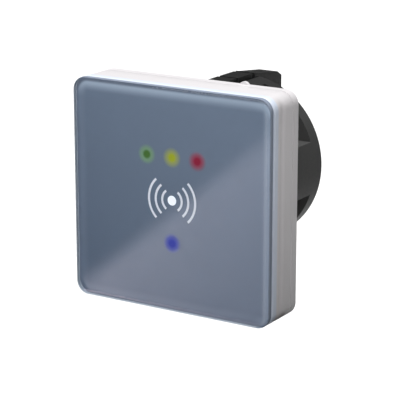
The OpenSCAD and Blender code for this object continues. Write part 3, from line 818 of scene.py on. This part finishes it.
# %% [markdown]
# The housing is one thin moulding, open at the back. A profile is carried round the plate's outline:
# across the front wall, over the rounded front edge, down the side and back up the inside. A soft
# shallow groove for the fingers runs down the left and right sides. It could be cut with a Boolean,
# but pressing the profile's points inwards by a cosine keeps the skin smooth. The hole for the lock
# screw is sharp-edged and goes through one flat wall, so there a Boolean is the right tool.

# %% Housing shell
SHELL_EDGE = 1.1 * MM
SHELL_WALL = 2.0 * MM
SHELL_FRONT_WALL = 1.6 * MM
SMALL_EDGE = 0.2 * MM
SMALL_STEPS = 4
GROOVE_AT = 5.6 * MM
GROOVE_HALF = 2.2 * MM
GROOVE_DEPTH = 0.45 * MM
GROOVE_STEPS = 13
HOLE_STEPS = 32
LOCK_GAP = 0.1 * MM

shell_in, shell_back = round_edge(SHELL_EDGE)
wall_in, wall_back = round_edge(SMALL_EDGE, SMALL_STEPS)
sweep = np.linspace(-1, 1, GROOVE_STEPS)
groove_back = shell_front + GROOVE_AT + GROOVE_HALF * sweep
outer_in = np.concatenate([[SHELL_EDGE + HOLD], shell_in, np.zeros(GROOVE_STEPS), wall_in[::-1],
                           [SMALL_EDGE + HOLD]])
outer_back = np.concatenate([[shell_front], shell_front + shell_back, groove_back,
                             shell_rear - wall_back[::-1], [shell_rear]])
inner_in = np.array([SHELL_WALL - HOLD, SHELL_WALL, SHELL_WALL, SHELL_WALL + HOLD])
inner_floor = shell_front + SHELL_FRONT_WALL
inner_back = np.array([shell_rear, shell_rear, inner_floor, inner_floor])
shell_loops = plate_loops(np.concatenate([outer_in, inner_in]), np.concatenate([outer_back, inner_back]))
groove_rows = slice(1 + len(shell_in), 1 + len(shell_in) + GROOVE_STEPS)
groove_loops = shell_loops[groove_rows]
upright = np.clip((half_height - abs(groove_loops[..., 2] - plate_z)) / PLATE_CORNER, 0, 1)
press = GROOVE_DEPTH / 2 * (1 + np.cos(np.pi * sweep))[:, None] * upright ** 2 * (3 - 2 * upright)
groove_loops[..., 0] -= np.sign(groove_loops[..., 0]) * press
shell = piece_from("housing_shell", [shell_loops], "front_unit",
                   white_plastic, ["front_shell"])


def upright_rod(radius, centre_x, centre_y, levels):
    """Circles round an upright axis, one for each level: turned ones, with y and z exchanged."""
    profile = [[radius, level] for level in levels]
    return turned(profile, centre_x, centre_y, HOLE_STEPS)[..., [0, 2, 1]]


def drilled(piece, grid):
    """Takes a closed grid away from a piece; what is left becomes the piece's own mesh."""
    drill = bpy.data.objects.new("drill", mesh_from("drill", [grid]))
    bpy.context.scene.collection.objects.link(drill)
    hole = piece.modifiers.new("hole", "BOOLEAN")
    hole.object = drill
    cut = piece.evaluated_get(bpy.context.evaluated_depsgraph_get())
    piece.data = bpy.data.meshes.new_from_object(cut)
    piece.modifiers.remove(hole)
    bpy.data.objects.remove(drill)
    tidy(piece.data)


lock_middle, lock_low, lock_high = node_box("lock_screw")
lock_radius = (lock_high[0] - lock_low[0]) / 2 + LOCK_GAP
lock_levels = [shell_low[2] - SHELL_WALL, shell_low[2] + 2 * SHELL_WALL]
drilled(shell, upright_rod(lock_radius, lock_middle[0], lock_middle[1], lock_levels))
print("housing with its lock hole:", len(shell.data.vertices), "points")

# %% [markdown]
# The base plate, the can, the claws and the plug already have the right shape in CAD, down to their
# slots and seats, so a copy of each CAD mesh is used. Its loose triangles are welded, flat neighbours
# are joined into whole faces, and a Bevel rounds the edges as a mould does. Modelling the can again as
# lofts would give the same walls for ten times the work.

# %% Moulded parts from the frame
FLAT_JOIN = math.radians(0.4)
FRAME_WELD = 2e-6
BEVEL_STEPS = 2
NORMAL_WEIGHT = 100
PLATE_ROUND = 0.15 * MM
CAN_ROUND = 0.20 * MM
CLAW_ROUND = 0.18 * MM
PLUG_ROUND = 0.12 * MM
SOCKET_ROUND = 0.10 * MM


def softened(name, node, width, body, material):
    """A welded copy of a CAD mesh, with its faces joined where they are flat and its edges rounded."""
    mesh = nodes[node].data.copy()
    mesh.name = name
    edit = bmesh.new()
    edit.from_mesh(mesh)
    bmesh.ops.remove_doubles(edit, verts=edit.verts, dist=FRAME_WELD)
    bmesh.ops.dissolve_limit(edit, angle_limit=FLAT_JOIN, verts=edit.verts, edges=edit.edges)
    edit.to_mesh(mesh)
    edit.free()
    mesh.shade_smooth()
    piece = place_piece(name, mesh, body, material, [node])
    bevel = piece.modifiers.new("moulded_edges", "BEVEL")
    bevel.width = width
    bevel.segments = BEVEL_STEPS
    bevel.limit_method = "ANGLE"
    bevel.angle_limit = SHARP_ANGLE
    even = piece.modifiers.new("flat_faces_stay_flat", "WEIGHTED_NORMAL")
    even.weight = NORMAL_WEIGHT
    even.keep_sharp = True
    return piece


softened("wall_plate", "base_plate", PLATE_ROUND, "wall_can", white_plastic)
softened("flush_can", "back_can", CAN_ROUND, "wall_can", black_plastic)
softened("upper_claw", "claw_top", CLAW_ROUND, "claw_top", claw_plastic)
softened("lower_claw", "claw_bottom", CLAW_ROUND, "claw_bottom", claw_plastic)
softened("wire_plug", "terminal_plug", PLUG_ROUND, "terminal_plug", terminal_plastic)
softened("wire_socket", "terminal_header", SOCKET_ROUND, "wall_can", terminal_plastic)

# %% [markdown]
# Metals need broken-up highlights: zinc plating is faintly cloudy and bluish, brass shows turning
# marks, and the aluminium cups are drawn. Each is a metallic shader whose gloss and tint follow noise
# that is stretched along the way the metal was worked.

# %% Metals
TARNISH_SCALE = 260.0
TARNISH_FROM = 0.35
TARNISH_TO = 0.75
STREAK_GLOSS = 0.25
TARNISH_GLOSS = 0.10
STREAK_DEPTH = 0.01 * MM
STREAK_STRENGTH = 0.5
COPPER_LACQUER = 0.6
ALONG_Y = (1.0, 0.08, 1.0)
ROUND_Y = (0.15, 1.0, 0.15)


def metal(name, colour, tarnish, rough, stretch, streaks, **constants):
    """A metal with cloudy tarnish in its colour, and streaks along one axis in its gloss."""
    def recipe(place):
        cloud = place.noise(TARNISH_SCALE)
        stretched = place.node("ShaderNodeMapping", {"Vector": place, "Scale": stretch})
        streak = stretched.noise(streaks, detail=4.0)
        return {
            "Base Color": cloud.fade(TARNISH_FROM, TARNISH_TO).mix(tarnish, colour),
            "Roughness": streak.swing(rough, STREAK_GLOSS) + TARNISH_GLOSS * (cloud - NOISE_MIDDLE),
            "Normal": streak.bump(STREAK_DEPTH, STREAK_STRENGTH),
        }
    return finish(name, recipe, Metallic=1.0, **constants)


zinc = metal("zinc_plate", colour=(0.72, 0.74, 0.78, 1), tarnish=(0.58, 0.60, 0.63, 1), rough=0.30,
             stretch=ROUND_Y, streaks=2600.0)
brass = metal("turned_brass", colour=(0.78, 0.58, 0.25, 1), tarnish=(0.60, 0.42, 0.17, 1), rough=0.30,
              stretch=ROUND_Y, streaks=2400.0)
gilt = metal("gilt_pins", colour=(0.92, 0.70, 0.30, 1), tarnish=(0.82, 0.58, 0.22, 1), rough=0.22,
             stretch=ALONG_Y, streaks=3000.0)
aluminium = metal("drawn_aluminium", colour=(0.82, 0.83, 0.85, 1), tarnish=(0.70, 0.71, 0.73, 1),
                  rough=0.26, stretch=ALONG_Y, streaks=2600.0)
copper = metal("lacquered_copper", colour=(0.62, 0.30, 0.14, 1), tarnish=(0.46, 0.24, 0.10, 1),
               rough=0.34, stretch=ROUND_Y, streaks=1800.0, Coat_Weight=COPPER_LACQUER)
print("metals:", len(finishes))

# %% [markdown]
# The clamping screws run the whole length of the can, so their threads show between claw and wall. A
# thread is a helix: the radius depends only on how far the point is along the screw, less its share of
# a turn. The slotted head comes from the frame, with the plain shank drawn in to the thread's root.

# %% Clamping screws
THREAD_PITCH = 1.25 * MM
THREAD_DEPTH = 0.28 * MM
SCREW_RADIUS = 1.5 * MM
THREAD_STEPS = 10
TURN_STEPS = 28
HEAD_DEPTH = 1.8 * MM
HEAD_OVERLAP = 0.1 * MM
SCREW_ROUND = 0.10 * MM
RIDGE_STEEP = 1.35
SHANK_SPARE = 1.02
SHANK_GAP = 0.05 * MM


def thread(centre_x, centre_z, start, end):
    """r = root + depth * ridge(y / pitch - angle / full turn), with a flat-topped triangular ridge."""
    rows = int((end - start) / THREAD_PITCH * THREAD_STEPS)
    y = np.linspace(start, end, rows)[:, None]
    angle = full_turn(TURN_STEPS)
    phase = (y / THREAD_PITCH - angle / (2 * np.pi)) % 1.0
    ridge = np.clip(RIDGE_STEEP * (1 - np.abs(2 * phase - 1)), 0, 1)
    runout = np.clip((end - y) / THREAD_PITCH, 0, 1)
    reach = SCREW_RADIUS - THREAD_DEPTH + THREAD_DEPTH * ridge * runout
    return around(centre_x, centre_z, reach, y, angle)


def clamping_screw(name, node, body):
    """The frame's screw, its shank points moved in towards the axis, with a helix laid over the shank."""
    middle, low, high = node_box(node)
    axis = middle[[0, 2]]
    screw = softened(name, node, SCREW_ROUND, body, zinc)
    spots = np.zeros(len(screw.data.vertices) * 3)
    screw.data.vertices.foreach_get("co", spots)
    spots = spots.reshape(-1, 3)
    arm = spots[:, [0, 2]] - axis
    radius = np.linalg.norm(arm, axis=1)
    shank = (radius < SCREW_RADIUS * SHANK_SPARE) & (spots[:, 1] > low[1] + HEAD_DEPTH - SHANK_GAP)
    drawn_in = (SCREW_RADIUS - THREAD_DEPTH - SHANK_GAP) / SCREW_RADIUS
    spots[np.ix_(shank, [0, 2])] = axis + arm[shank] * drawn_in
    screw.data.vertices.foreach_set("co", spots.ravel())
    helix = thread(*axis, low[1] + HEAD_DEPTH - HEAD_OVERLAP, high[1])
    piece_from(name + "_thread", [helix], body, zinc)


clamping_screw("upper_screw", "claw_screw_top", "claw_screw_top")
clamping_screw("lower_screw", "claw_screw_bottom", "claw_screw_bottom")

# %% [markdown]
# The other round parts are only profiles. The rubber grommet gets the rings that guide a knife when
# the cable hole is cut, the buzzer its sound hole, and the capacitors the pinched groove above their
# rubber seal. Small rounds are given as a bend between two points, since they are a few tenths of a
# millimetre.

# %% Turned parts
POLE_SHARE = 0.02

middle, low, high = node_box("cable_grommet")
LIP = 1.0 * MM
GROOVE_RADIUS = 8.0 * MM
LIP_RADIUS = 9.6 * MM
RECESS_RADIUS = 6.4 * MM
MEMBRANE = 1.2 * MM
ROUND = 0.3 * MM
BEND = 0.3 * ROUND
RING_COUNT = 4
RING_STEPS = 12
RING_REACH = 0.94
RING_HEIGHT = 0.22 * MM
membrane_rear = low[1] + MEMBRANE
ring_radius = np.linspace(POLE_SHARE, RING_REACH, RING_STEPS * RING_COUNT) * RECESS_RADIUS
ring_wave = np.sin(2 * np.pi * RING_COUNT * ring_radius / RECESS_RADIUS)
ring_depth = membrane_rear + RING_HEIGHT * np.maximum(ring_wave, 0)
recess_profile = np.stack([ring_radius, ring_depth], -1)
lip_profile = np.array([
    [RECESS_RADIUS, membrane_rear], [RECESS_RADIUS, high[1] - ROUND],
    [RECESS_RADIUS + BEND, high[1] - BEND], [RECESS_RADIUS + ROUND, high[1]],
    [LIP_RADIUS - ROUND, high[1]], [LIP_RADIUS - BEND, high[1] - BEND],
    [LIP_RADIUS, high[1] - ROUND], [LIP_RADIUS, high[1] - LIP],
    [GROOVE_RADIUS, high[1] - LIP], [GROOVE_RADIUS, low[1] + LIP],
    [LIP_RADIUS, low[1] + LIP], [LIP_RADIUS, low[1] + ROUND],
    [LIP_RADIUS - ROUND, low[1]], [POLE_SHARE * RECESS_RADIUS, low[1]],
])
grommet_grid = turned(np.concatenate([recess_profile, lip_profile]), middle[0], middle[2])
piece_from("rubber_grommet", [grommet_grid], "wall_can", rubber,
           ["cable_grommet"])

middle, low, high = node_box("buzzer")
SOUND_HOLE = 1.1 * MM
SOUND_DEPTH = 1.6 * MM
BUZZER_ROUND = 0.5 * MM
BUZZER_BEND = 0.15 * MM
BUZZER_FOOT = 0.6 * MM
FOOT_STEP = 0.3 * MM
buzzer_radius = (high[0] - low[0]) / 2
sound_floor = high[1] - SOUND_DEPTH
buzzer_profile = [
    [SOUND_HOLE * POLE_SHARE, sound_floor], [SOUND_HOLE, sound_floor],
    [SOUND_HOLE, high[1] - BUZZER_BEND], [SOUND_HOLE + BUZZER_BEND, high[1]],
    [buzzer_radius - BUZZER_ROUND, high[1]], [buzzer_radius - BUZZER_BEND, high[1] - BUZZER_BEND],
    [buzzer_radius, high[1] - BUZZER_ROUND], [buzzer_radius, low[1] + BUZZER_FOOT],
    [buzzer_radius - FOOT_STEP, low[1] + BUZZER_FOOT], [buzzer_radius - FOOT_STEP, low[1]],
    [SOUND_HOLE * POLE_SHARE, low[1]],
]
piece_from("sound_buzzer", [turned(buzzer_profile, middle[0], middle[2])], "front_unit",
           black_plastic, ["buzzer"])

middle, low, high = node_box("capacitors")
CUP_COUNT = 3
CUP_STEPS = 36
CUP_EDGE = 0.1 * MM
CUP_ROUND = 0.45 * MM
CUP_BEND = 0.13 * MM
PINCH_AT = 1.1 * MM
PINCH_DEPTH = 0.18 * MM
PINCH_HALF = 0.35 * MM
PINCH_FLAT = 0.12 * MM
cup_radius = (high[2] - low[2]) / 2
cup_spots = np.linspace(low[0] + cup_radius, high[0] - cup_radius, CUP_COUNT)
pinch = low[1] + PINCH_AT
cup_profile = [
    [POLE_SHARE * cup_radius, low[1]], [cup_radius - CUP_EDGE, low[1]],
    [cup_radius, low[1] + CUP_EDGE], [cup_radius, pinch - PINCH_HALF],
    [cup_radius - PINCH_DEPTH, pinch - PINCH_FLAT], [cup_radius - PINCH_DEPTH, pinch + PINCH_FLAT],
    [cup_radius, pinch + PINCH_HALF], [cup_radius, high[1] - CUP_ROUND],
    [cup_radius - CUP_BEND, high[1] - CUP_BEND], [cup_radius - CUP_ROUND, high[1]],
    [POLE_SHARE * cup_radius, high[1]],
]
cups = [turned(cup_profile, spot, middle[2], CUP_STEPS) for spot in cup_spots]
piece_from("capacitor_cups", cups, "front_unit", aluminium, ["capacitors"])

# %% [markdown]
# The crystal's can is drawn from sheet with a flange round its foot, and it is as easy as the panel:
# the same rounded loops, small and almost semicircular at the ends.

# %% Crystal can
middle, low, high = node_box("crystal")
FLANGE = 0.4 * MM
CRYSTAL_EDGE = 0.7 * MM
CRYSTAL_STEPS = 5
END_FLAT = 0.1 * MM
crystal_edge_in, crystal_edge_back = round_edge(CRYSTAL_EDGE, CRYSTAL_STEPS)
crystal_in = np.concatenate([[0.0, 0.0, FLANGE, FLANGE], FLANGE + crystal_edge_in[::-1]])
crystal_out = np.concatenate([[low[1], low[1] + FLANGE, low[1] + FLANGE, low[1] + FLANGE],
                              high[1] - crystal_edge_back[::-1]])
crystal_loops = plate_loops(crystal_in, crystal_out, (high[0] - low[0]) / 2, (high[2] - low[2]) / 2,
                            (high[2] - low[2]) / 2 - END_FLAT, middle[2])
crystal_loops[..., 0] += middle[0]
piece_from("crystal_can", [crystal_loops], "front_unit", aluminium,
           ["crystal"])

# %% [markdown]
# Each chip stands on gull-wing leads. One lead is a flat strip whose middle line steps down from the
# body to the board; arrays then turn and shift that strip along all four sides at once.

# %% Chip leads
LEAD_WIDTH = 0.30 * MM
LEAD_THICK = 0.15 * MM
LEAD_REACH = 1.0 * MM
LEAD_OUT = np.array([-0.1, 0.25, 0.42, 0.55, 0.68, 1.0]) * LEAD_REACH
LEAD_UP = np.array([1.0, 1.0, 0.85, 0.25, 0.06, 0.06])
LEAD_ROW = 1.7
CONTROLLER_LEADS = 12
READER_LEADS = 8


def chip_leads(node, per_side):
    """Strips of middle line (out, up): out of the body, over a bend, down, and along the board."""
    centre, low, high = node_box(node)
    half = (high[0] - low[0]) / 2
    board = low[1] if abs(low[1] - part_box("main_board")[1][1]) < MM else high[1]
    lift = centre[1] - board
    out = LEAD_OUT + half
    up = LEAD_UP * lift
    across = np.array([-0.5, 0.5, 0.5, -0.5]) * LEAD_WIDTH
    thick = np.array([0.0, 0.0, 1.0, 1.0]) * LEAD_THICK * np.sign(lift)
    strip_out = np.repeat(out[:, None], 4, 1)
    strip_y = board + up[:, None] + thick[None, :]
    pitch = LEAD_ROW * half / per_side
    grids = []
    for shift in (np.arange(per_side) - (per_side - 1) / 2) * pitch:
        strip_side = np.broadcast_to(across[None, :] + shift, strip_out.shape)
        for turn_x, turn_z in ((1, 0), (-1, 0), (0, 1), (0, -1)):
            x = centre[0] + strip_out * turn_x + strip_side * turn_z
            z = centre[2] + strip_out * turn_z + strip_side * turn_x
            grids.append(np.stack([x, strip_y, z], -1))
    return grids


leads = chip_leads("controller_chip", CONTROLLER_LEADS) + chip_leads("reader_chip", READER_LEADS)
piece_from("chip_leads", leads, "front_unit", zinc)

# %% [markdown]
# A circuit board is glass cloth under green lacquer, with copper tracks that show through as a lighter
# green. The tracks run one way or the other in patches: a cell pattern picks the way, and a sawtooth
# of the board's own coordinates draws the lines. They stand a few hundredths of a millimetre proud.

# %% Circuit board and electronics
TRACK_PITCH = 1.27 * MM
TRACK_SHARE = 0.30
TRACK_SOFT = 0.03
TRACK_HEIGHT = 0.04 * MM
TRACK_STRENGTH = 0.8
PATCH_CELLS = 105.0
HALF = 0.5
WEAVE_SCALE = 2500.0
WEAVE_SHOWS = 0.25
WEAVE_HEIGHT = 0.15
PAD_CELLS = 230.0
PAD_FROM = 0.13
PAD_TO = 0.17
PAD_METAL = 0.9
BARE_BOARD = (0.010, 0.090, 0.040, 1)
TRACK_GREEN = (0.030, 0.190, 0.075, 1)
WEAVE_GREEN = (0.02, 0.13, 0.06, 1)
TINNED = (0.62, 0.60, 0.52, 1)
BOARD_COAT = 0.3
EPOXY_GRAIN = 3500.0
EPOXY_DEPTH = 0.04 * MM
EPOXY_STRENGTH = 0.7
EPOXY_CLOUD = 300.0
EPOXY_BLACK = (0.020, 0.020, 0.021, 1)
EPOXY_WORN = (0.032, 0.032, 0.034, 1)
LED_SPOTS = 900.0
LED_CREAM = (0.86, 0.84, 0.74, 1)
LED_AMBER = (0.78, 0.75, 0.62, 1)
FLOW_SCALE = 420.0


def board_recipe(place):
    """Lines where a sawtooth of x or z is near its middle, with tinned pads where a cell is closest."""
    x, _, z = place.axes()
    cell = place.node("ShaderNodeTexVoronoi", {"Vector": place, "Scale": PATCH_CELLS}, output="Color",
                      voronoi_dimensions="3D", distance="CHEBYCHEV")
    pick = cell.node("ShaderNodeSeparateColor", {0: cell})
    way = pick.maths("GREATER_THAN", pick, HALF)
    saw_x = abs((x / TRACK_PITCH).fraction() - HALF)
    saw_z = abs((z / TRACK_PITCH).fraction() - HALF)
    saw = way * saw_x + (1 - way) * saw_z
    track = saw.fade(TRACK_SHARE / 2 - TRACK_SOFT, TRACK_SHARE / 2 + TRACK_SOFT)
    weave = place.noise(WEAVE_SCALE, detail=2.0)
    hole = place.node("ShaderNodeTexVoronoi", {"Vector": place, "Scale": PAD_CELLS}, output="Distance")
    pad = hole.fade(PAD_FROM, PAD_TO)
    lacquer = track.mix(BARE_BOARD, TRACK_GREEN)
    lacquer = (WEAVE_SHOWS * weave).mix(lacquer, WEAVE_GREEN)
    return {
        "Base Color": pad.mix(lacquer, TINNED),
        "Metallic": PAD_METAL * pad,
        "Roughness": weave.swing(middle=0.32, spread=0.15),
        "Normal": (track + WEAVE_HEIGHT * weave).bump(TRACK_HEIGHT, TRACK_STRENGTH),
    }


def chip_recipe(place):
    """Black epoxy: cloudy colour and a fine matt grain."""
    grain = place.noise(EPOXY_GRAIN, detail=2.0)
    cloud = place.noise(EPOXY_CLOUD)
    return {"Base Color": cloud.mix(EPOXY_BLACK, EPOXY_WORN),
            "Roughness": grain.swing(middle=0.55, spread=0.2),
            "Normal": grain.bump(EPOXY_DEPTH, EPOXY_STRENGTH)}


def led_recipe(place):
    """Cream plastic with amber spots."""
    spots = place.noise(LED_SPOTS, detail=2.0)
    return {"Base Color": spots.mix(LED_CREAM, LED_AMBER),
            "Roughness": spots.swing(middle=0.35, spread=0.2)}


def light_recipe(core, halo):
    """Tinted clear plastic, with faint flow lines from the mould."""
    def recipe(place):
        flow = place.noise(FLOW_SCALE)
        tint = flow.mix(core, halo)
        return {"Base Color": tint, "Roughness": flow.swing(middle=0.14, spread=0.12),
                "Emission Color": tint}
    return recipe


board_green = finish("board_lacquer", board_recipe, Coat_Weight=BOARD_COAT)
chip_epoxy = finish("chip_epoxy", chip_recipe)
led_body = finish("led_body", led_recipe)
print("electronics:", len(finishes), "finishes")

# %% [markdown]
# Last, each remaining node of the frame gets its finish by name. The list follows the record's own
# material slots, so a node that changes its slot there also changes its finish here.

# %% Dress the remaining nodes
PIPE_CLEAR = 0.5
PIPE_BEND = 1.49
PIPE_GLOW = 0.15
slot_finish = {
    "front_glass": finishes["clear_glass"],
    "black_bond": foam_bond,
    "mask_print": finishes["panel_ink"],
    "white_housing": white_plastic,
    "led_package": led_body,
    "circuit_board": board_green,
    "copper": copper,
    "chip_black": chip_epoxy,
    "can_aluminium": aluminium,
    "gilt_brass": gilt,
    "zinc_steel": zinc,
    "black_can": black_plastic,
    "black_claw": claw_plastic,
    "black_rubber": rubber,
    "terminal_green": terminal_plastic,
    "nut_brass": brass,
}
for colour, (_, core, halo) in lights.items():
    slot_finish["light_" + colour] = finish("light_pipe_" + colour, light_recipe(core, halo),
                                            Transmission_Weight=PIPE_CLEAR, IOR=PIPE_BEND,
                                            Emission_Strength=PIPE_GLOW)

node_slot = {row["node"]: row["material_slot"] for row in frame["record"]["subparts"]}
shown = [name for name, node in nodes.items() if not node.hide_render]
for name in shown:
    node = nodes[name]
    node.data.materials.clear()
    node.data.materials.append(slot_finish[node_slot[name]])
print("dressed", len(shown), "nodes of the frame")
